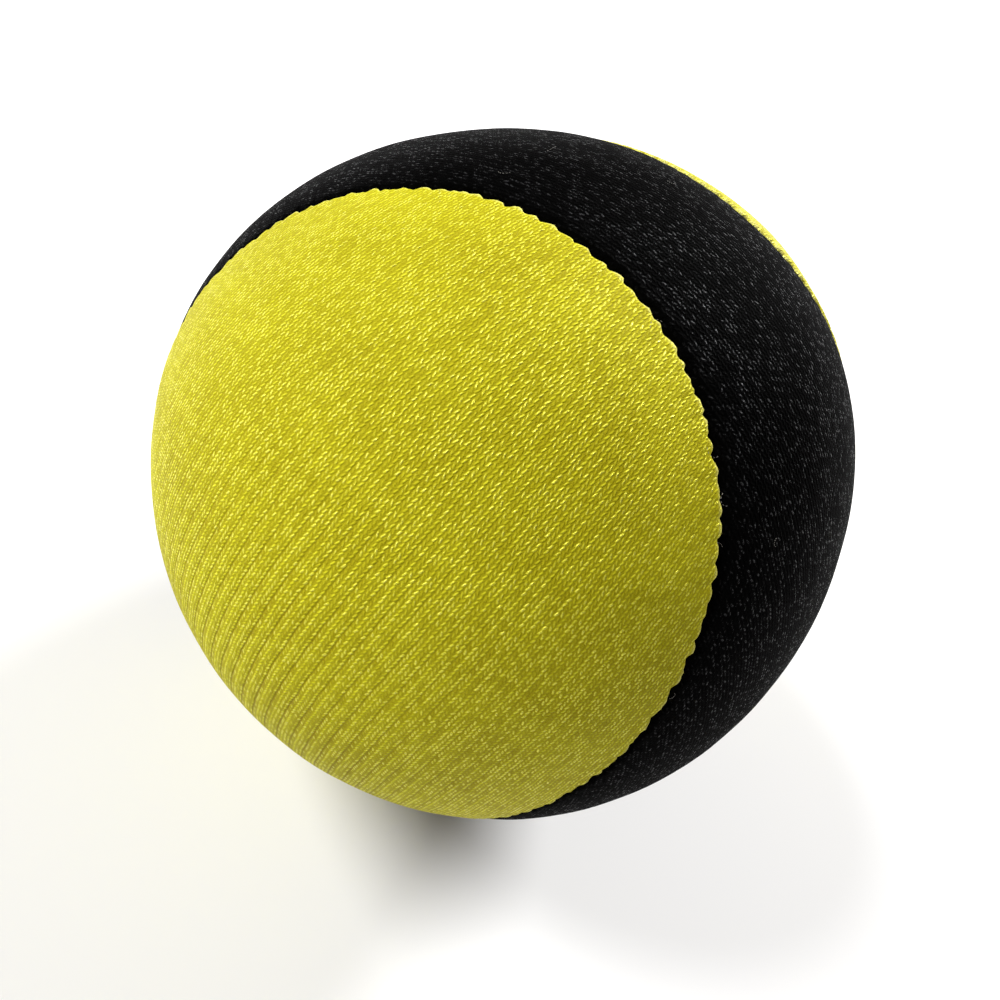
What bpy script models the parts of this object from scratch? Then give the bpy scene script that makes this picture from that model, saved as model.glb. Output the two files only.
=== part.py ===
"""A two-panel juggling ball: a grain-filled bag of stretch cloth, sewn from two equal dumbbell-shaped
panels that lock into each other like the cover of a tennis ball. Metres, +Z up, origin at the centre.

+Z leaves the ball through the middle of the black panel's waist and -Z through the yellow panel's.
The yellow panel's two lobes lie towards +X+Y and -X-Y, the black panel's towards +X-Y and -X+Y.
"""
import math

import bmesh
import bpy
from mathutils import Matrix, Vector

# Sizes that a maker sets
BALL_RADIUS = 0.0325  # outside of the cloth
WAIST_WIDTH = 0.0155  # the narrow middle of each panel, along the surface
CLOTH = 0.0006  # thickness of the stretch cloth
ALLOWANCE = 0.0030  # depth of the turned-in edge below the rounded fold
FOLD_INSIDE = 0.0004  # inner radius of the rounded fold along the seam
THREAD = 0.0003  # diameter of the sewing threads
STITCH_DEPTH = 0.0021  # how far below the surface the machine stitches run
OPENING_LENGTH = 0.028  # the stretch of seam that was closed by hand after filling
CLEARANCE = 0.0003  # left between pieces that touch

# How the seam winds round the ball, as angles
SEAM_SWAY = math.radians(-31.2)  # swings the lobes out beyond the waists
SEAM_RISE_FINE = math.radians(4.5)  # makes the lobe ends nearly round
SEAM_PACE = math.radians(-7.4)  # spaces the steps along the seam more evenly
LOBE_CENTRE = math.radians(119)  # from a panel's waist to the middle of its lobe end
OPENING_TURN = math.radians(270)  # where along the seam the hand-closed stretch lies

# How finely the curved surfaces are cut
TURNS = 96  # steps along the seam, a multiple of 8
RINGS = 6  # steps from the seam to a panel's middle line
FOLD_STEPS = 3
OPENING_STEPS = 24

# Sizes that follow
SEAM_RISE = math.pi / 2 - WAIST_WIDTH / 2 / BALL_RADIUS + SEAM_RISE_FINE
FOLD_OUTSIDE = FOLD_INSIDE + CLOTH
FOLD_START = CLEARANCE / 2 + FOLD_OUTSIDE
FOLD_LEVEL = BALL_RADIUS - FOLD_OUTSIDE
EDGE_LEVEL = FOLD_LEVEL - ALLOWANCE
CLOTH_BACK = CLEARANCE / 2 + CLOTH
THREAD_OFFSET = CLOTH_BACK + CLEARANCE + THREAD / 2
FILL_RADIUS = BALL_RADIUS - CLOTH - CLEARANCE
GROOVE_HALF = THREAD_OFFSET + THREAD / 2 + CLEARANCE
GROOVE_FLOOR = EDGE_LEVEL - CLEARANCE
CLOSING_LEVEL = BALL_RADIUS - THREAD / 2
MERGE = 1e-7


def seam_point(turn):
    """The direction from the centre to the seam, once round the seam as turn goes from 0 to 2 pi."""
    t = turn + SEAM_PACE * math.sin(4 * turn)
    rise = SEAM_RISE * math.sin(2 * t) + SEAM_RISE_FINE * math.sin(6 * t)
    round_z = t + SEAM_SWAY * math.sin(4 * t)
    return Vector((math.cos(rise) * math.cos(round_z), math.cos(rise) * math.sin(round_z), math.sin(rise)))


def beside_seam(turn, offset, radius):
    """A point at that radius and that far beside the seam: on the yellow panel's side, or the black if below 0."""
    step = 1e-4
    along = (seam_point(turn + step) - seam_point(turn - step)).normalized()
    here = seam_point(turn)
    across = along.cross(here).normalized()
    angle = offset / radius
    return (here * math.cos(angle) + across * math.sin(angle)) * radius


def yellow_spine(turn):
    """The direction to the yellow panel's middle line, opposite each point of the seam."""
    angle = LOBE_CENTRE * math.sin(turn + math.pi / 4)
    side = math.sin(angle) / math.sqrt(2)
    return Vector((side, side, -math.cos(angle)))


def black_spine(turn):
    return Matrix.Rotation(math.pi, 3, "X") @ yellow_spine(-turn)


def towards(spine, turn, offset, radius, share):
    """The point that is that share of the way from beside the seam to a panel's middle line."""
    start = beside_seam(turn, offset, radius).normalized()
    return start.slerp(spine(turn), share) * radius


def skin_rows(spine, offset, radius):
    """Rows of points from beside the seam to the middle line."""
    return [
        lambda turn, share=ring / RINGS: towards(spine, turn, offset, radius, share)
        for ring in range(RINGS + 1)
    ]


def edge_row(offset, radius):
    return lambda turn: beside_seam(turn, offset, radius)


def fold_rows(fold_radius):
    """Rows round the fold, from the skin down to the turned-in edge, without the first."""
    angles = [math.pi / 2 * step / FOLD_STEPS for step in range(1, FOLD_STEPS + 1)]
    return [
        edge_row(FOLD_START - fold_radius * math.sin(a), FOLD_LEVEL + fold_radius * math.cos(a))
        for a in angles
    ]


def closed_skin(name, rows):
    """A closed mesh from rows of points round the ball. Each end row lies doubled on a middle line."""
    bm = bmesh.new()
    bmesh.ops.create_grid(bm, x_segments=TURNS, y_segments=len(rows) - 1, size=0.5)
    for vertex in bm.verts:
        turn = round((vertex.co.x + 0.5) * TURNS) * 2 * math.pi / TURNS
        row = rows[round((vertex.co.y + 0.5) * (len(rows) - 1))]
        vertex.co = row(turn)
    bmesh.ops.remove_doubles(bm, verts=bm.verts, dist=MERGE)
    bmesh.ops.recalc_face_normals(bm, faces=bm.faces)
    mesh = bpy.data.meshes.new(name)
    bm.to_mesh(mesh)
    bm.free()
    mesh.shade_smooth()
    mesh.set_sharp_from_angle(angle=math.radians(50))
    return mesh


def finish_of(name, colour, roughness):
    material = bpy.data.materials.new(name)
    material.use_nodes = True
    shader = material.node_tree.nodes["Principled BSDF"]
    shader.inputs["Base Color"].default_value = (*colour, 1)
    shader.inputs["Roughness"].default_value = roughness
    shader.inputs["Metallic"].default_value = 0
    return material


def add(name, data, material):
    piece = bpy.data.objects.new(name, data)
    data.materials.append(material)
    bpy.context.scene.collection.objects.link(piece)
    return piece


def panel(name, material):
    """One panel, cut like the yellow one: skin, rounded fold and turned-in edge, all one cloth thick."""
    outside = skin_rows(yellow_spine, FOLD_START, BALL_RADIUS)
    inside = skin_rows(yellow_spine, FOLD_START, BALL_RADIUS - CLOTH)
    edge = [edge_row(CLEARANCE / 2, EDGE_LEVEL), edge_row(CLOTH_BACK, EDGE_LEVEL)]
    rows = outside[::-1] + fold_rows(FOLD_OUTSIDE) + edge + fold_rows(FOLD_INSIDE)[::-1] + inside
    return add(name, closed_skin(name, rows), material)


def grain_fill(material):
    """The packed filling, with the groove that the turned-in edges and the machine stitches press into it."""
    yellow_side = skin_rows(yellow_spine, GROOVE_HALF, FILL_RADIUS)
    black_side = skin_rows(black_spine, -GROOVE_HALF, FILL_RADIUS)
    groove = [edge_row(GROOVE_HALF, GROOVE_FLOOR), edge_row(-GROOVE_HALF, GROOVE_FLOOR)]
    return add("grain_fill", closed_skin("grain_fill", yellow_side[::-1] + groove + black_side), material)


def thread(name, points, closed, material):
    """A round thread through the points."""
    curve = bpy.data.curves.new(name, "CURVE")
    curve.dimensions = "3D"
    curve.bevel_depth = THREAD / 2
    curve.bevel_resolution = 1
    curve.use_fill_caps = True
    spline = curve.splines.new("POLY")
    spline.points.add(len(points) - 1)
    for spot, point in zip(spline.points, points):
        spot.co = (*point, 1)
    spline.use_cyclic_u = closed
    return add(name, curve, material)


def machine_thread(name, side, material):
    """One of the two threads of the machine seam, which goes right round on its own side of the edges."""
    turns = [2 * math.pi * step / TURNS for step in range(TURNS)]
    route = [beside_seam(turn, side * THREAD_OFFSET, BALL_RADIUS - STITCH_DEPTH) for turn in turns]
    return thread(name, route, True, material)


def closing_thread(material):
    """The hand-sewn thread that closes the opening, drawn down into the valley between the folds."""
    step = 1e-4
    pace = (seam_point(OPENING_TURN + step) - seam_point(OPENING_TURN - step)).length / (2 * step)
    half = OPENING_LENGTH / 2 / (pace * BALL_RADIUS)
    turns = [OPENING_TURN + half * (2 * k / OPENING_STEPS - 1) for k in range(OPENING_STEPS + 1)]
    return thread("closing_thread", [beside_seam(turn, 0, CLOSING_LEVEL) for turn in turns], False, material)


def build():
    for old in list(bpy.data.objects):
        bpy.data.objects.remove(old)
    yellow = finish_of("yellow_stretch_cloth", (0.62, 0.56, 0.03), 0.42)
    black = finish_of("black_stretch_cloth", (0.006, 0.006, 0.007), 0.42)
    cotton = finish_of("black_thread", (0.02, 0.02, 0.022), 0.6)
    grain = finish_of("grain", (0.62, 0.42, 0.15), 0.7)

    panel("yellow_panel", yellow)
    black_panel = panel("black_panel", black)
    black_panel.rotation_euler.x = math.pi
    grain_fill(grain)
    machine_thread("needle_thread", 1, cotton)
    machine_thread("bobbin_thread", -1, cotton)
    closing_thread(cotton)


build()
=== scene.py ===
# %% [markdown]
# # A two-panel juggling ball
#
# The ball is a bag of thin, shiny stretch cloth packed tight with seed. Two equal panels, one yellow and
# one black, are cut like dumbbells and lock into each other, as the two halves of a tennis ball's cover do.
# This lesson builds the cloth with its rolled, puckered seam, and then its knit, one loop at a time.

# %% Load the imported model
import math

import bmesh
import bpy
import numpy as np
from mathutils import Matrix, Vector, kdtree, noise


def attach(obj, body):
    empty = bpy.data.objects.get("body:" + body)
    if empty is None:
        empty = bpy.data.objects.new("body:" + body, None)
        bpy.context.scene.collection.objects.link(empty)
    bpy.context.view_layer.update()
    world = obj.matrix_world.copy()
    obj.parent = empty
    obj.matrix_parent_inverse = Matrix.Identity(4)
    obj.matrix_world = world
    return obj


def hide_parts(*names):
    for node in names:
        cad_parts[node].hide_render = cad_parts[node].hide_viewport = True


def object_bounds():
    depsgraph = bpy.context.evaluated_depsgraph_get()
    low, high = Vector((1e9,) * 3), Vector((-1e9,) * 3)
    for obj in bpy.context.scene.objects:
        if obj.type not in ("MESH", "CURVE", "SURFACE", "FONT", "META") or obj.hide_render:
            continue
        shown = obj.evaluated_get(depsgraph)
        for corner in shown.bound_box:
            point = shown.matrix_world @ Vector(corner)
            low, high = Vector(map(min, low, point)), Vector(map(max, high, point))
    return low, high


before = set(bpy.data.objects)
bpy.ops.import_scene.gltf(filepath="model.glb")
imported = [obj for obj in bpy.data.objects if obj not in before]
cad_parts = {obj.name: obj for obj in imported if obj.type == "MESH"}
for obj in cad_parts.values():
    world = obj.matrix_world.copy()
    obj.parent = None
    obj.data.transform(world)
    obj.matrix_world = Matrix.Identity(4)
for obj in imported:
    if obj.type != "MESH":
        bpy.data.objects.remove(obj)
cad_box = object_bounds()
BODY = "root"
RADIUS = (cad_box[1][2] - cad_box[0][2]) / 2
print("nodes:", sorted(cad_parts), "radius in mm:", round(RADIUS * 1000, 2))

# %% [markdown]
# ## Where the camera stands
#
# A small ball looks round and close when the camera is only a few radii away, so the near lobe swells and
# the far side drops out of sight. The camera leans to one side, as a hand-held one does, and has no lens
# shift: it is turned until the ball sits a little above the middle of the picture.

# %% Camera
CAMERA_AROUND = math.radians(151.05)
CAMERA_UP = math.radians(48.92)
CAMERA_DISTANCE = 2.4 * RADIUS
CAMERA_LEAN = math.radians(31.36)
AIM_AROUND = math.radians(149.76)
AIM_UP = math.radians(50.61)
LENS = 27.5


def direction(around, up):
    """The way to a point at that turn from -Y, anticlockwise from above, and that height."""
    return Vector((math.sin(around) * math.cos(up), -math.cos(around) * math.cos(up), math.sin(up)))


def make_camera():
    data = bpy.data.cameras.new("camera")
    data.lens = LENS
    data.sensor_width = 36
    data.clip_start = 0.001
    data.clip_end = 10
    camera = bpy.data.objects.new("camera", data)
    bpy.context.scene.collection.objects.link(camera)
    camera.location = direction(CAMERA_AROUND, CAMERA_UP) * CAMERA_DISTANCE
    aim = (-direction(AIM_AROUND, AIM_UP)).to_track_quat("-Z", "Y")
    camera.rotation_euler = (aim.to_matrix() @ Matrix.Rotation(CAMERA_LEAN, 3, "Z")).to_euler()
    bpy.context.scene.camera = camera
    return camera


camera = make_camera()
print("camera at", [round(x, 4) for x in camera.location])

# %% [markdown]
# ## The floor and the light
#
# Glossy thread shows what is around it, so large soft lights give broad, gentle glints and a small one
# gives sparkle. One wide light hangs to the left of the camera. A smaller one stands behind the ball and
# skims the black cloth. The pale floor throws a little light back up.

# %% Floor and lights
FLOOR_SIZE = 1.6
KEY_AROUND = math.radians(62)
KEY_UP = math.radians(40)
BACK_AROUND = math.radians(313)
BACK_UP = math.radians(31)
KEY_DISTANCE, KEY_SIZE, KEY_POWER = 1.5, 0.7, 30
BACK_DISTANCE, BACK_SIZE, BACK_POWER = 1.2, 0.5, 23
WORLD_STRENGTH = 0.16
WORLD_COLOUR = (1, 0.92, 0.84)
FLOOR_COLOUR = (0.92, 0.92, 0.92)
FLOOR_ROUGHNESS = 0.9


def plain_finish(name, colour, roughness):
    material = bpy.data.materials.new(name)
    material.use_nodes = True
    shader = material.node_tree.nodes["Principled BSDF"]
    shader.inputs["Base Color"].default_value = (*colour, 1)
    shader.inputs["Roughness"].default_value = roughness
    return material


def make_floor(level):
    bm = bmesh.new()
    bmesh.ops.create_grid(bm, x_segments=1, y_segments=1, size=FLOOR_SIZE / 2)
    bmesh.ops.translate(bm, verts=bm.verts, vec=(0, 0, level))
    mesh = bpy.data.meshes.new("floor")
    bm.to_mesh(mesh)
    bm.free()
    mesh.materials.append(plain_finish("pale_floor", FLOOR_COLOUR, FLOOR_ROUGHNESS))
    floor = bpy.data.objects.new("floor", mesh)
    bpy.context.scene.collection.objects.link(floor)
    return floor


def make_light(name, around, up, distance, size, power):
    data = bpy.data.lights.new(name, "AREA")
    data.shape = "DISK"
    data.size = size
    data.energy = power
    light = bpy.data.objects.new(name, data)
    bpy.context.scene.collection.objects.link(light)
    light.location = direction(around, up) * distance
    light.rotation_euler = direction(around, up).to_track_quat("Z", "Y").to_euler()
    return light


def make_world(strength, colour):
    world = bpy.data.worlds.new("studio")
    world.use_nodes = True
    background = world.node_tree.nodes["Background"]
    background.inputs["Color"].default_value = (*colour, 1)
    background.inputs["Strength"].default_value = strength
    bpy.context.scene.world = world


make_floor(cad_box[0][2])
make_light("key", KEY_AROUND, KEY_UP, KEY_DISTANCE, KEY_SIZE, KEY_POWER)
make_light("back", BACK_AROUND, BACK_UP, BACK_DISTANCE, BACK_SIZE, BACK_POWER)
make_world(WORLD_STRENGTH, WORLD_COLOUR)
bpy.context.scene.view_settings.view_transform = "Standard"

# %% [markdown]
# ## The seam's path
#
# The seam rises to one pole twice and falls to the other twice while it goes once round. Two sine waves
# give its height and one sways it from side to side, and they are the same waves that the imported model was
# cut with. The stitches have equal lengths, so the path is measured along its length first and then read at
# even steps.

# %% The seam and the panels' middle lines
WAIST_WIDTH = 0.0155
SEAM_SWAY = math.radians(-31.2)
SEAM_RISE_FINE = math.radians(4.5)
SEAM_RISE = math.pi / 2 - WAIST_WIDTH / 2 / RADIUS + SEAM_RISE_FINE
LOBE_CENTRE = math.radians(119)
STITCHES = 280
STEPS_PER_STITCH = 6
COLUMNS = STITCHES * STEPS_PER_STITCH
FINE_STEPS = 40000
SMALL_TURN = 1e-4


def seam_directions(turn):
    """Directions from the centre to the seam, for an array of turns from 0 to 2 pi."""
    rise = SEAM_RISE * np.sin(2 * turn) + SEAM_RISE_FINE * np.sin(6 * turn)
    around = turn + SEAM_SWAY * np.sin(4 * turn)
    return np.stack([np.cos(rise) * np.cos(around), np.cos(rise) * np.sin(around), np.sin(rise)], 1)


def even_turns(count):
    """Turns that cut the seam into stretches of equal length."""
    turn = np.linspace(0, 2 * math.pi, FINE_STEPS + 1)
    steps = np.linalg.norm(np.diff(seam_directions(turn), axis=0), axis=1)
    along = np.concatenate([[0], np.cumsum(steps)])
    return np.interp(np.arange(count) / count * along[-1], along, turn), along[-1] * RADIUS


def unit(vectors):
    return vectors / np.linalg.norm(vectors, axis=-1, keepdims=True)


turns, seam_length = even_turns(COLUMNS)
planned = seam_directions(turns)
along_seam = unit(seam_directions(turns + SMALL_TURN) - seam_directions(turns - SMALL_TURN))
across_seam = unit(np.cross(along_seam, planned))

# %% [markdown]
# ## A real seam wanders
#
# In a few places the two edges were fed unevenly, and the seam runs about two millimetres from its plan.

# %% The seam's wander
WANDER = [  # (turn, how far towards yellow)
    (math.radians(198), 0.0018),
    (math.radians(217), 0.0006),
    (math.radians(243), 0.0020),
    (math.radians(305), -0.0005),
    (math.radians(120), 0.0004),
]
WANDER_REACH = math.radians(20)
wander = np.zeros(COLUMNS)
for where, shift in WANDER:
    wander += shift / RADIUS * np.exp(-(((turns - where) / WANDER_REACH) ** 2))
seam = planned * np.cos(wander)[:, None] + across_seam * np.sin(wander)[:, None]
across_seam = across_seam * np.cos(wander)[:, None] - planned * np.sin(wander)[:, None]


def spine_directions(turn):
    """The yellow panel's middle line, opposite each point of the seam."""
    angle = LOBE_CENTRE * np.sin(turn + math.pi / 4)
    side = np.sin(angle) / math.sqrt(2)
    return np.stack([side, side, -np.cos(angle)], 1)


FLIP = np.array([1, -1, -1])  # half a turn about X swaps the two panels
yellow_spine = spine_directions(turns)
black_spine = spine_directions(-turns) * FLIP
print("seam length in mm:", round(seam_length * 1000, 1))
print("stitch in mm:", round(seam_length / STITCHES * 1000, 2))

# %% [markdown]
# ## A filled bag is never quite round
#
# Seed settles and hands press it, so the ball is a little out of true: a few broad swellings and flats,
# each under a millimetre, and faint lumps where seed presses against the cloth. Every piece takes its
# radius from the same function, so that the cloth, threads and filling stay together.

# %% The shape of the filled bag
SWELLINGS = [  # (around, up, height as a share of the radius)
    (258, 70, 0.026),
    (20, 52, -0.026),
    (78, 18, 0.008),
    (224, 19, -0.012),
]
SWELLING_BREADTH = math.radians(34)
LUMP_HEIGHT = 0.00006
LUMP_SIZE = 0.0045


def bag_radius(ways):
    """The distance from the centre to the outside of the cloth, in each of the directions."""
    radius = np.full(len(ways), RADIUS)
    for around, up, height in SWELLINGS:
        centre = np.array(direction(math.radians(around), math.radians(up)))
        angle = np.arccos(np.clip(ways @ centre, -1, 1))
        radius += RADIUS * height * np.exp(-((angle / SWELLING_BREADTH) ** 2))
    spots = ways * (RADIUS / LUMP_SIZE)
    lumps = np.array([noise.noise(Vector(spot)) for spot in spots])
    return radius + LUMP_HEIGHT * lumps

# %% [markdown]
# ## The stitched edge
#
# The machine draws its thread tight at every hole, so the folded edge bulges between two holes and is
# pinched at each. The feed drags the top cloth a little, so each bulge leans one way and ends in a small
# step: from outside the edge looks like a row of soft saw teeth. No two are alike.

# %% Teeth and pinches along the seam
TOOTH_DEPTH = 0.00020
SMALL_TOOTH_DEPTH = 0.00020
SMALL_TOOTH_WIDTH = 0.00048
PINCH_DEPTH = 0.00007
TOOTH_PEAK = 0.72  # how far along a stitch the bulge is widest
dice = np.random.default_rng(7)
tooth_size = dice.uniform(0.3, 1.3, STITCHES)
tooth_start = dice.uniform(-0.22, 0.22, STITCHES)


def teeth():
    """How far the yellow edge reaches over the black, and how hard the thread pinches, at each column."""
    place = np.arange(COLUMNS) / STEPS_PER_STITCH
    stitch = np.floor(place).astype(int)
    phase = (place - stitch - tooth_start[stitch]).clip(0, 1)
    rising = phase / TOOTH_PEAK
    falling = np.cos((phase - TOOTH_PEAK) / (1 - TOOTH_PEAK) * math.pi / 2)
    reach = np.where(phase < TOOTH_PEAK, rising, falling.clip(0, 1)) * tooth_size[stitch]
    pinch = np.exp(-((np.minimum(phase, 1 - phase) / 0.16) ** 2))
    small_count = round(seam_length / SMALL_TOOTH_WIDTH)
    small = dice.uniform(-1, 1, small_count)
    small = np.interp(place / STITCHES * small_count, range(small_count + 1), [*small, small[0]])
    return reach * TOOTH_DEPTH + small * SMALL_TOOTH_DEPTH, pinch * PINCH_DEPTH


tooth_reach, pinch = teeth()
print("teeth reach up to", round(tooth_reach.max() * 1000, 2), "mm")

# %% [markdown]
# ## The panels
#
# Each panel is one closed skin: outside, rolled fold, turned-in edge and inside. A flat grid is a good
# start, because its columns can run from the middle line to the seam and on under the fold, and its rows
# follow the seam. Bending the grid into place and merging the doubled middle line gives a skin with no
# hole.

# %% One panel
CLOTH = 0.0004
SEAM_GAP = 0.0001
ALLOWANCE = 0.0030
RINGS = 26
PUCKER_REACH = 0.0013
TURNED_IN_DEPTH = 0.0010  # below this the edges are held by the stitches
TURNED_IN_SHARE = 0.3  # how much of a tooth's reach is left there
YELLOW_FOLD = 0.00050  # radius of the rolled edge
BLACK_FOLD = 0.00060
BLACK_SINK = 0.00010  # how far the black edge lies below the yellow one
SINK_REACH = 0.0022
MERGE_DISTANCE = 1e-7


def panel_rows(fold):
    """Rows of (share of the way to the middle line, distance from the seam, depth below the outside)."""
    start = SEAM_GAP / 2 + fold
    shares = [(k / RINGS) ** 1.5 for k in range(RINGS + 1)]
    outside = [(share, start, 0.0) for share in shares]
    angles = [math.pi / 2 * k / 6 for k in range(1, 7)]
    outer_fold = [(0, start - fold * math.sin(a), fold * (1 - math.cos(a))) for a in angles]
    outer_edge = [(0, SEAM_GAP / 2, fold + ALLOWANCE * k / 3) for k in (1, 2, 3)]
    inner_edge = [(0, SEAM_GAP / 2 + CLOTH, fold + ALLOWANCE * k / 3) for k in (3, 2, 1)]
    inner = fold - CLOTH
    inner_fold = [(0, start - inner * math.sin(a), fold - inner * math.cos(a)) for a in angles[::-2]]
    inside = [(share, start, CLOTH) for share in shares[::2]]
    return outside[::-1] + outer_fold + outer_edge + inner_edge + inner_fold + inside


def slerp(start, end, share):
    angle = np.arccos(np.clip((start * end).sum(1, keepdims=True), -1, 1))
    return (np.sin((1 - share) * angle) * start + np.sin(share * angle) * end) / np.sin(angle)


def panel_points(rows, side, sink):
    """The panel's points and their distances from the seam, by row. side is 1 for yellow, -1 for black."""
    spine = yellow_spine if side > 0 else black_spine
    points, besides = [], []
    for share, offset, depth in rows:
        share_left = 1 if depth < TURNED_IN_DEPTH else TURNED_IN_SHARE
        angle = (side * offset - tooth_reach * share_left) / RADIUS
        start = seam * np.cos(angle)[:, None] + across_seam * np.sin(angle)[:, None]
        way = start if share == 0 else slerp(start, spine, share)
        beside = np.arccos(np.clip((way * seam).sum(1), -1, 1)) * RADIUS
        near = np.exp(-beside / PUCKER_REACH) * (1 - share)
        radius = bag_radius(way) - depth - pinch * near - sink * np.exp(-((beside / SINK_REACH) ** 2))
        points.append(way * radius[:, None])
        besides.append(beside)
    return points, besides


def make_panel(name, side, fold, sink):
    rows = panel_rows(fold)
    points, besides = (np.array(values) for values in panel_points(rows, side, sink))
    bm = bmesh.new()
    bmesh.ops.create_grid(bm, x_segments=COLUMNS, y_segments=len(rows) - 1, size=0.5)
    beside_layer = bm.verts.layers.float.new("beside_seam")
    for vertex in bm.verts:
        column = round((vertex.co.x + 0.5) * COLUMNS) % COLUMNS
        row = round((vertex.co.y + 0.5) * (len(rows) - 1))
        vertex.co = points[row, column]
        vertex[beside_layer] = besides[row, column]
    bmesh.ops.remove_doubles(bm, verts=bm.verts, dist=MERGE_DISTANCE)
    bmesh.ops.recalc_face_normals(bm, faces=bm.faces)
    mesh = bpy.data.meshes.new(name)
    bm.to_mesh(mesh)
    bm.free()
    mesh.shade_smooth()
    panel = bpy.data.objects.new(name, mesh)
    bpy.context.scene.collection.objects.link(panel)
    print(name, "faces:", len(mesh.polygons))
    return panel


yellow = make_panel("yellow_cloth", 1, YELLOW_FOLD, 0.0)
black = make_panel("black_cloth", -1, BLACK_FOLD, BLACK_SINK)

# %% [markdown]
# ## Where each knitted loop lies
#
# The cloth's columns of loops run along each panel, from one lobe to the other, and its rows go across. On
# the ball a place is then a number of columns from the middle line and a number of rows from the waist. The
# cloth is drawn together a little towards the round end of a lobe, so the columns crowd there. Low on one
# side the cloth is less taut and gathers into ribs. All this is kept on the mesh for the material to read.

# %% Columns and rows as attributes
COLUMN_PITCH = 0.00065
ROW_PITCH = 0.00043
CROWDING = 0.27
CROWDING_START = 1.9
SLACK_AT = direction(math.radians(136), math.radians(-4))
SLACK_BREADTH = math.radians(32)


def knit_places(panel, lobe_side, waist_side, off_grain):
    """Stores (column, row, 0) and the slack of every vertex. off_grain is how far the cut was turned."""
    mesh = panel.data
    points = np.empty(len(mesh.vertices) * 3)
    mesh.vertices.foreach_get("co", points)
    ways = unit(points.reshape(-1, 3))
    lobe, waist = np.array(lobe_side), np.array(waist_side)
    aside = np.arcsin(np.clip(ways @ np.cross(waist, lobe), -1, 1))
    onward = np.arctan2(ways @ lobe, ways @ waist)
    crowd = 1 + CROWDING * (np.abs(onward) - CROWDING_START).clip(0) ** 2
    column = aside * crowd * math.cos(off_grain) + onward * math.sin(off_grain)
    row = onward * math.cos(off_grain) - aside * math.sin(off_grain)
    places = np.stack([column * RADIUS / COLUMN_PITCH, row * RADIUS / ROW_PITCH, column * 0], 1)
    layer = mesh.attributes.new("knit", "FLOAT_VECTOR", "POINT")
    layer.data.foreach_set("vector", places.ravel())
    slack = np.exp(-((np.arccos(np.clip(ways @ np.array(SLACK_AT), -1, 1)) / SLACK_BREADTH) ** 2))
    mesh.attributes.new("slack", "FLOAT", "POINT").data.foreach_set("value", slack)


DIAGONAL = math.sqrt(0.5)
YELLOW_OFF_GRAIN = math.radians(3)
BLACK_OFF_GRAIN = math.radians(-5)
knit_places(yellow, (DIAGONAL, DIAGONAL, 0), (0, 0, -1), YELLOW_OFF_GRAIN)
knit_places(black, (DIAGONAL, -DIAGONAL, 0), (0, 0, 1), BLACK_OFF_GRAIN)

# %% [markdown]
# ## Writing a finish as sums
#
# A material is a graph of small sums. Written as ordinary expressions they stay readable: a Value stands
# for a socket, and adding or multiplying Values adds the Math nodes.

# %% Values and finishes


class Value:
    """A number that changes over the surface."""

    def __init__(self, finish, socket):
        self.finish = finish
        self.socket = socket

    def sum(self, operation, *others):
        return self.finish.node("ShaderNodeMath", {"operation": operation}, dict(enumerate([self, *others])))

    def __add__(self, other):
        return self.sum("ADD", other)

    __radd__ = __add__

    def __mul__(self, other):
        return self.sum("MULTIPLY", other)

    __rmul__ = __mul__

    def __sub__(self, other):
        return self.sum("SUBTRACT", other)

    def __rsub__(self, other):
        return (self * -1) + other

    def __truediv__(self, other):
        return self.sum("DIVIDE", other)

    def __pow__(self, other):
        return self.sum("POWER", other)

    def __abs__(self):
        return self.sum("ABSOLUTE")


class Finish:
    """A material with one Principled shader, and the ways to add nodes to it."""

    def __init__(self, name):
        self.material = bpy.data.materials.new(name)
        self.material.use_nodes = True
        self.tree = self.material.node_tree
        self.shader = self.tree.nodes["Principled BSDF"]

    def put(self, socket, value):
        if isinstance(value, Value):
            self.tree.links.new(value.socket, socket)
        else:
            socket.default_value = value

    def node(self, kind, settings=None, inputs=None, output=0):
        made = self.tree.nodes.new(kind)
        for name, setting in (settings or {}).items():
            setattr(made, name, setting)
        for name, value in (inputs or {}).items():
            self.put(made.inputs[name], value)
        return Value(self, made.outputs[output])

    def mix(self, share, first, second):
        """A colour between two colours."""
        return self.node(
            "ShaderNodeMix", {"data_type": "RGBA", "clamp_factor": True}, {0: share, 6: first, 7: second}, 2
        )

    def set(self, **inputs):
        for name, value in inputs.items():
            self.put(self.shader.inputs[name.replace("_", " ").title()], value)


# %% [markdown]
# ## The knit
#
# A knitted loop shows two legs that lean apart like a V, and each loop's feet come out of the loop before
# it. In one cell of the pattern a leg is a rounded bar that leans outwards as it rises. Each yarn is a
# bundle of shiny filaments and no two loops sit alike, so every leg gets its own height, shade and gloss.
# The cloth's colour is darker where the relief is low and lighter where it is high: painted shade.

# %% The knitted cloth
LEG_FOOT = 0.16
LEG_LEAN = 0.19
LEG_HALF_WIDTH = 0.15
STAGGER = 0.5  # one leg of a loop starts this share of a row after the other
WANDERING = 0.25  # how far a column strays, in columns
WANDERING_SCALE = 0.22
PATCH_DETAIL = 2
BROAD_SCALE = 0.06  # size of the broad light and dark areas
BROAD_DETAIL = 3
RIB_PLACE = 0.25  # where in a column the taut leg's ridge runs
RIB_HALF_WIDTH = 0.17
RIB = 0.06  # how much the taut legs of one column stand up as a ridge
COLUMNS_PER_GATHER = 2
GATHER = 1.6  # height of a rib where the cloth is slack
# how strongly painted shade darkens the ribs' valleys and lightens their tops
GATHER_PAINTED_SHADE = 0.35
GATHER_MIDDLE = 0.67  # the mean of a rib's rounded top
WEAK_LEG = 0.55
GLINT_METAL = 0.9
DULL_ROUGHNESS = 0.55
GLINT_SMOOTHING = 0.32
# Painted highlight: how far in from the seam the fold's pale colour reaches.
FOLD_HIGHLIGHT_REACH = 0.0004  # how far in from the seam the fold catches the light
FILAMENTS = 5.5  # patches of filament across one column of loops


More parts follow.
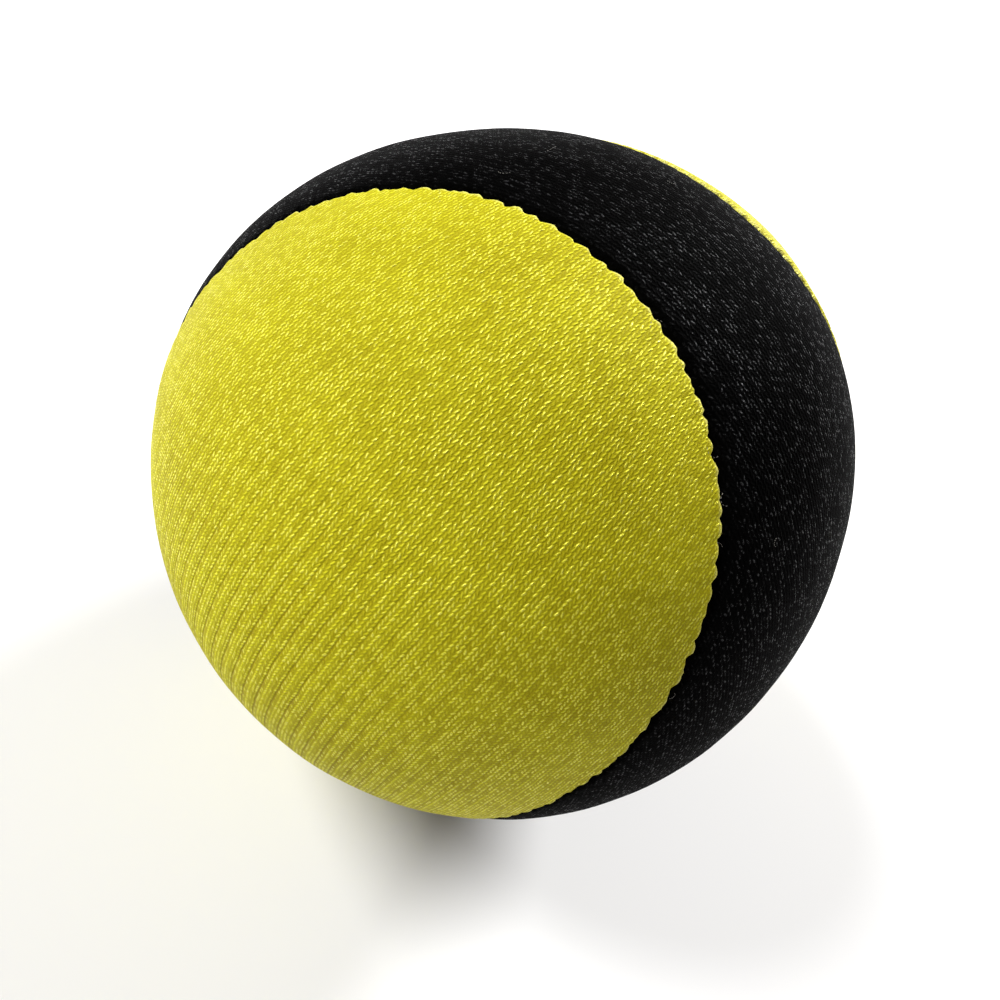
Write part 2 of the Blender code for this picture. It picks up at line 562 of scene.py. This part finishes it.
def knit(name, shaded_valley_colour, lit_top_colour, glint_colour, fold_highlight_colour, relief, seam_shade_reach, rarity, shine):
    """Knitted cloth. Its colour runs from a dark painted shade in the valleys to a lighter colour on the
    tops, and rarity is the luck that a glint needs.
    """
    finish = Finish(name)
    node = finish.node
    place = node("ShaderNodeAttribute", {"attribute_name": "knit"}, output=1)
    wander = node(
        "ShaderNodeTexNoise",
        {"noise_dimensions": "2D"},
        {"Vector": place, "Scale": WANDERING_SCALE, "Detail": PATCH_DETAIL},
        1,
    )
    shifted = node(
        "ShaderNodeVectorMath",
        {"operation": "MULTIPLY_ADD"},
        {0: wander, 1: (WANDERING, WANDERING, 0), 2: place},
    )
    column = node("ShaderNodeSeparateXYZ", inputs={0: shifted}, output=0)
    row = node("ShaderNodeSeparateXYZ", inputs={0: shifted}, output=1)
    strong = column.sum("FRACT").sum("LESS_THAN", 0.5)
    across = abs(column.sum("FRACT") - 0.5)
    row = row + strong * STAGGER
    onward = row.sum("FRACT")
    leg = (across - (onward * LEG_LEAN + LEG_FOOT)) / LEG_HALF_WIDTH
    bar = (1 - leg * leg).sum("MAXIMUM", 0) ** 0.7
    bead = onward * (1 - onward) * 4
    loop = node("ShaderNodeCombineXYZ", inputs={0: (column * 2).sum("FLOOR"), 1: row.sum("FLOOR")})
    chance = node("ShaderNodeTexWhiteNoise", {"noise_dimensions": "2D"}, {"Vector": loop}, 0)
    patches = node(
        "ShaderNodeTexNoise",
        {"noise_dimensions": "2D"},
        {"Vector": place, "Scale": FILAMENTS, "Detail": PATCH_DETAIL},
        0,
    )
    side = strong * (1 - WEAK_LEG) + WEAK_LEG
    ridge = (column.sum("FRACT") - RIB_PLACE) / RIB_HALF_WIDTH
    rib = (1 - ridge * ridge).sum("MAXIMUM", 0) * RIB
    height = bar * (bead * 0.75 + 0.25) * side * (chance * 0.5 + 0.7) + patches * 0.8 + rib
    broad = node(
        "ShaderNodeTexNoise",
        {"noise_dimensions": "2D"},
        {"Vector": place, "Scale": BROAD_SCALE, "Detail": BROAD_DETAIL},
        0,
    )
    beside = node("ShaderNodeAttribute", {"attribute_name": "beside_seam"}, output=2)
    # Painted shade: glints fade out within this reach of the seam, leaving a darker band along it.
    clear_of_seam_shade = (beside / seam_shade_reach).sum("MINIMUM", 1)
    # Painted shade: darker where the relief is low, lighter where it is high; the chance and broad terms are
    # random tone.
    relief_shade_and_tone = height * 0.7 + (chance - 0.5) * bar * 0.5 + (broad - 0.5) * 0.3 + 0.08
    slack = node("ShaderNodeAttribute", {"attribute_name": "slack"}, output=2)
    aside = (column / COLUMNS_PER_GATHER).sum("FRACT") - 0.5
    gather = (1 - aside * aside * 4) * slack
    # Painted shade on the gathered ribs: darker between them and lighter on their tops.
    relief_shade_and_tone = relief_shade_and_tone + (gather - slack * GATHER_MIDDLE) * GATHER_PAINTED_SHADE
    luck = chance * 0.6 + patches * 1.5
    glint = ((luck - rarity) * 5).sum("MAXIMUM", 0).sum("MINIMUM", 1) * bar * bead * clear_of_seam_shade
    cloth = finish.mix(relief_shade_and_tone, (*shaded_valley_colour, 1), (*lit_top_colour, 1))
    # Painted highlight: a pale colour on the fold right beside the seam, in patches.
    fold_highlight = (1 - beside / FOLD_HIGHLIGHT_REACH).sum("MAXIMUM", 0) * ((patches - 0.35) * 4).sum("MAXIMUM", 0)
    cloth = finish.mix(fold_highlight.sum("MINIMUM", 0.8), cloth, (*fold_highlight_colour, 1))
    relief_height = height + gather * GATHER
    finish.set(
        base_color=finish.mix(glint, cloth, (*glint_colour, 1)),
        metallic=glint * GLINT_METAL,
        roughness=DULL_ROUGHNESS - glint * GLINT_SMOOTHING,
        normal=node("ShaderNodeBump", {}, {"Strength": 1.0, "Distance": relief, "Height": relief_height}),
    )
    finish.shader.inputs["Specular IOR Level"].default_value = shine
    return finish


# The first two colours of each knit are painted shade in the loop valleys and the lighter colour of the loop
# tops.
yellow_knit = knit(
    "yellow_stretch_knit",
    shaded_valley_colour=(0.26, 0.195, 0.0006),
    lit_top_colour=(0.76, 0.735, 0.02),
    glint_colour=(0.90, 0.86, 0.13),
    fold_highlight_colour=(0.95, 0.92, 0.33),
    relief=0.00007,
    seam_shade_reach=0.0001,
    rarity=1.15,
    shine=0.04,
)
black_knit = knit(
    "black_stretch_knit",
    shaded_valley_colour=(0.0004, 0.0004, 0.0004),
    lit_top_colour=(0.002, 0.002, 0.002),
    glint_colour=(0.032, 0.032, 0.034),
    fold_highlight_colour=(0.002, 0.002, 0.002),
    relief=0.00009,
    seam_shade_reach=0.0018,
    rarity=1.22,
    shine=0.0025,
)
yellow.data.materials.append(yellow_knit.material)
black.data.materials.append(black_knit.material)

# %% [markdown]
# ## The threads
#
# A lockstitch has two threads, one on each side of the cloth. They meet in the middle of every hole, where
# one hooks round the other. The seam is sewn inside out and then turned, so both threads lie hidden on the
# turned-in edges. The gap left for filling is closed by hand from outside with a ladder stitch: the thread
# runs inside one fold, crosses, runs inside the other, and its rungs show in the valley. Sewing thread is
# three twisted plies.

# %% Threads
THREAD_RADIUS = 0.00013
THREAD_SIDES = 12
PLY_DEPTH = 0.16
PLY_LENGTH = 0.0011
STITCH_DEPTH = 0.0021
STEPS_BETWEEN_HOLES = 12
OPENING_TURN = math.radians(270)
OPENING_LENGTH = 0.028
RUNGS = 12
RUNG_HALF_WIDTH = 0.00062
RUNG_DEPTH = 0.00016
HIDDEN_DEPTH = 0.00016
HOLE_REACH = 0.0002  # how near a hole the thread starts to dip into it


def along_the_seam(count):
    """Even places along the seam: (ways, directions towards yellow) with the teeth left out."""
    places = np.arange(count) / count * COLUMNS
    ring = np.arange(COLUMNS + 1)
    ways = [np.interp(places, ring, [*seam[:, k], seam[0, k]]) for k in range(3)]
    asides = [np.interp(places, ring, [*across_seam[:, k], across_seam[0, k]]) for k in range(3)]
    return unit(np.stack(ways, 1)), unit(np.stack(asides, 1))


def make_thread(name, points, closed):
    """A three-ply thread through the points."""
    count = len(points)
    ahead = np.roll(points, -1, 0) - np.roll(points, 1, 0)
    if not closed:
        ahead[0], ahead[-1] = points[1] - points[0], points[-1] - points[-2]
    ahead = unit(ahead)
    outward = unit(points)
    side = unit(np.cross(ahead, outward))
    upward = np.cross(side, ahead)
    steps = np.linalg.norm(np.diff(points, axis=0), axis=1)
    along = np.concatenate([[0], np.cumsum(steps)])
    columns = count if closed else count - 1
    bm = bmesh.new()
    bmesh.ops.create_grid(bm, x_segments=columns, y_segments=THREAD_SIDES, size=0.5)
    for vertex in bm.verts:
        column = round((vertex.co.x + 0.5) * columns) % count
        angle = (vertex.co.y + 0.5) * math.tau
        ply = math.cos(3 * (angle - along[column] / PLY_LENGTH * math.tau / 3))
        reach = THREAD_RADIUS * (1 - PLY_DEPTH / 2 + PLY_DEPTH / 2 * ply)
        place = side[column] * math.cos(angle) + upward[column] * math.sin(angle)
        vertex.co = points[column] + place * reach
    bmesh.ops.remove_doubles(bm, verts=bm.verts, dist=MERGE_DISTANCE)
    if not closed:
        bmesh.ops.holes_fill(bm, edges=[edge for edge in bm.edges if edge.is_boundary])
    bmesh.ops.recalc_face_normals(bm, faces=bm.faces)
    mesh = bpy.data.meshes.new(name)
    bm.to_mesh(mesh)
    bm.free()
    mesh.shade_smooth()
    thread = bpy.data.objects.new(name, mesh)
    bpy.context.scene.collection.objects.link(thread)
    print(name, "length in mm:", round(along[-1] * 1000), "faces:", len(mesh.polygons))
    return thread


def machine_thread(name, side):
    """The thread on one side of the two turned-in edges: 1 for yellow, -1 for black."""
    ways, asides = along_the_seam(STITCHES * STEPS_BETWEEN_HOLES)
    phase = np.arange(len(ways)) / STEPS_BETWEEN_HOLES % 1
    from_hole = np.minimum(phase, 1 - phase) * seam_length / STITCHES
    clear = SEAM_GAP / 2 + CLOTH + THREAD_RADIUS
    offset = side * (clear - (clear - THREAD_RADIUS) * np.exp(-((from_hole / HOLE_REACH) ** 2)))
    places = np.arange(len(ways)) / len(ways) * COLUMNS
    offset -= np.interp(places, range(COLUMNS + 1), [*tooth_reach, tooth_reach[0]]) * TURNED_IN_SHARE
    depth = bag_radius(ways) - STITCH_DEPTH
    return make_thread(name, ways * depth[:, None] + asides * offset[:, None], closed=True)


def closing_stitch(name):
    """The ladder stitch by hand across the opening."""
    ways, asides = along_the_seam(COLUMNS * 4)
    middle = round(np.interp(OPENING_TURN, turns, np.arange(COLUMNS)) * 4)
    half = round(OPENING_LENGTH / 2 / seam_length * len(ways))
    here = np.arange(middle - half, middle + half)
    swing = np.sin((here - middle) / half * math.pi * RUNGS / 2)
    offset = RUNG_HALF_WIDTH * np.tanh(5 * swing) / math.tanh(5)
    hidden = HIDDEN_DEPTH * swing**8
    depth = bag_radius(ways[here]) - RUNG_DEPTH - hidden
    return make_thread(name, ways[here] * depth[:, None] + asides[here] * offset[:, None], closed=False)


needle = machine_thread("needle_stitches", 1)
bobbin = machine_thread("bobbin_stitches", -1)
closing = closing_stitch("closing_stitches")

# %% [markdown]
# ## Loose fibres
#
# A cut knit sheds, and a handled ball picks up lint. A few short curled fibres stand at the seam and lie on
# the black cloth. They are thinner than a hair, so they only show against the black.

# %% Loose fibres
FIBRES = 46
FIBRE_RADIUS = 0.000016
FIBRE_STEPS = 10


def make_fibres(name):
    bm = bmesh.new()
    for number in range(FIBRES):
        column = dice.integers(COLUMNS)
        start = Vector(seam[column])
        aside = Vector(across_seam[column])
        if number % 2:  # lint on the black cloth
            start = (start - aside * dice.uniform(0.04, 0.30)).normalized()
        out = start.copy()
        run = start.cross(aside).normalized()
        run.rotate(Matrix.Rotation(dice.uniform(0, math.tau), 3, out))
        length = dice.uniform(0.0006, 0.0014)
        curl = dice.choice([-1, 1]) * dice.uniform(1.0, 3.2)
        level = bag_radius(np.array([start]))[0]
        place = start * (level + 0.00003)
        rings = []
        for step in range(FIBRE_STEPS + 1):
            ring = bmesh.ops.create_circle(bm, segments=4, radius=FIBRE_RADIUS)["verts"]
            turn = run.to_track_quat("Z", "X").to_matrix().to_4x4()
            bmesh.ops.transform(bm, matrix=Matrix.Translation(place) @ turn, verts=ring)
            rings.append(ring)
            run.rotate(Matrix.Rotation(curl / FIBRE_STEPS, 3, out))
            place = place + run * (length / FIBRE_STEPS)
            lift = 0.00004 + 0.00010 * math.sin(step / FIBRE_STEPS * math.pi) * (number % 3)
            place = place.normalized() * (level + lift)
        for before, after in zip(rings, rings[1:]):
            edges = {edge for vertex in before + after for edge in vertex.link_edges if edge.is_wire}
            bmesh.ops.bridge_loops(bm, edges=list(edges))
    bmesh.ops.recalc_face_normals(bm, faces=bm.faces)
    mesh = bpy.data.meshes.new(name)
    bm.to_mesh(mesh)
    bm.free()
    fibres = bpy.data.objects.new(name, mesh)
    bpy.context.scene.collection.objects.link(fibres)
    print(name, "faces:", len(mesh.polygons))
    return fibres


fibres = make_fibres("loose_fibres")

# %% [markdown]
# ## The filling
#
# The bag is packed with small round seed. From outside only its pressure on the cloth shows, but when the
# cloth is lifted the surface is seed against seed: each one is a dome round the nearest point of a
# scattered set. A groove runs under the seam, where the turned-in edges push the seed aside.

# %% The filling
SEED_SIZE = 0.0021
SEED_RISE = 0.00055
FILL_GAP = 0.0009
GROOVE_DEPTH = 0.0032
GROOVE_HALF_WIDTH = 0.0010
GROOVE_SLOPE = 0.0007


def seam_groove(ways):
    """How far the filling is pushed in under the turned-in edges."""
    tree = kdtree.KDTree(COLUMNS)
    for column, way in enumerate(seam):
        tree.insert(way, column)
    tree.balance()
    beside = np.array([tree.find(way)[2] for way in ways]) * RADIUS
    return GROOVE_DEPTH * (1 - (beside - GROOVE_HALF_WIDTH) / GROOVE_SLOPE).clip(0, 1)


def make_filling(name):
    bm = bmesh.new()
    bmesh.ops.create_icosphere(bm, subdivisions=7, radius=1)
    ways = unit(np.array([vertex.co for vertex in bm.verts]))
    levels = bag_radius(ways) - FILL_GAP - seam_groove(ways)
    for vertex, way, level in zip(bm.verts, ways, levels):
        nearest = noise.voronoi(Vector(way) * (RADIUS / SEED_SIZE))[0]
        dome = math.sqrt(max(0, 1 - (nearest[0] / 0.75) ** 2))
        edge = min(1, (nearest[1] - nearest[0]) * 4)
        vertex.co = way * (level - SEED_RISE * (1 - dome * edge))
    mesh = bpy.data.meshes.new(name)
    bm.to_mesh(mesh)
    bm.free()
    mesh.shade_smooth()
    filling = bpy.data.objects.new(name, mesh)
    bpy.context.scene.collection.objects.link(filling)
    print(name, "faces:", len(mesh.polygons))
    return filling


filling = make_filling("seed_filling")

# %% [markdown]
# ## Thread, fibre and seed
#
# Thread and lint are matt with a fine fuzz. Seed is smooth, and each one has its own tint.

# %% Finishes for thread, fibre and seed


def thread_finish(name, dark, light, fuzz_size):
    finish = Finish(name)
    place = finish.node("ShaderNodeTexCoord", output=3)
    fuzz = finish.node("ShaderNodeTexNoise", {}, {"Vector": place, "Scale": 1 / fuzz_size, "Detail": 4}, 0)
    patch = finish.node("ShaderNodeTexNoise", {}, {"Vector": place, "Scale": 0.1 / fuzz_size, "Detail": 2}, 0)
    depth = fuzz_size / 2
    finish.set(
        base_color=finish.mix((fuzz - 0.3) * 1.6 + (patch - 0.5), (*dark, 1), (*light, 1)),
        roughness=0.75 - fuzz * 0.3,
        normal=finish.node("ShaderNodeBump", {}, {"Strength": 0.7, "Distance": depth, "Height": fuzz}),
    )
    return finish.material


def seed_finish(name):
    finish = Finish(name)
    place = finish.node("ShaderNodeTexCoord", output=3)
    each = finish.node("ShaderNodeTexVoronoi", {}, {"Vector": place, "Scale": 1 / SEED_SIZE}, 1)
    tint = finish.node("ShaderNodeSeparateXYZ", inputs={0: each}, output=0)
    grain = finish.node("ShaderNodeTexNoise", {}, {"Vector": place, "Scale": 9000, "Detail": 3}, 0)
    finish.set(
        base_color=finish.mix(tint * 0.8 + grain * 0.4 - 0.1, (0.42, 0.24, 0.05, 1), (0.86, 0.66, 0.28, 1)),
        roughness=0.35 + grain * 0.25,
        normal=finish.node("ShaderNodeBump", {}, {"Strength": 0.4, "Distance": 0.00003, "Height": grain}),
    )
    return finish.material


black_thread = thread_finish("black_sewing_thread", (0.003, 0.003, 0.003), (0.03, 0.03, 0.032), 0.00005)
lint = thread_finish("pale_lint", (0.18, 0.17, 0.15), (0.5, 0.48, 0.44), 0.00005)
for thread in (needle, bobbin, closing):
    thread.data.materials.append(black_thread)
fibres.data.materials.append(lint)
filling.data.materials.append(seed_finish("millet_seed"))

for piece, node_name, slot in (
    (yellow, "yellow_panel", "yellow_cloth"),
    (black, "black_panel", "black_cloth"),
    (needle, "needle_thread", "thread"),
    (bobbin, "bobbin_thread", "thread"),
    (closing, "closing_thread", "thread"),
    (filling, "grain_fill", "grain"),
):
    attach(piece, BODY)
    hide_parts(node_name)
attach(fibres, BODY)
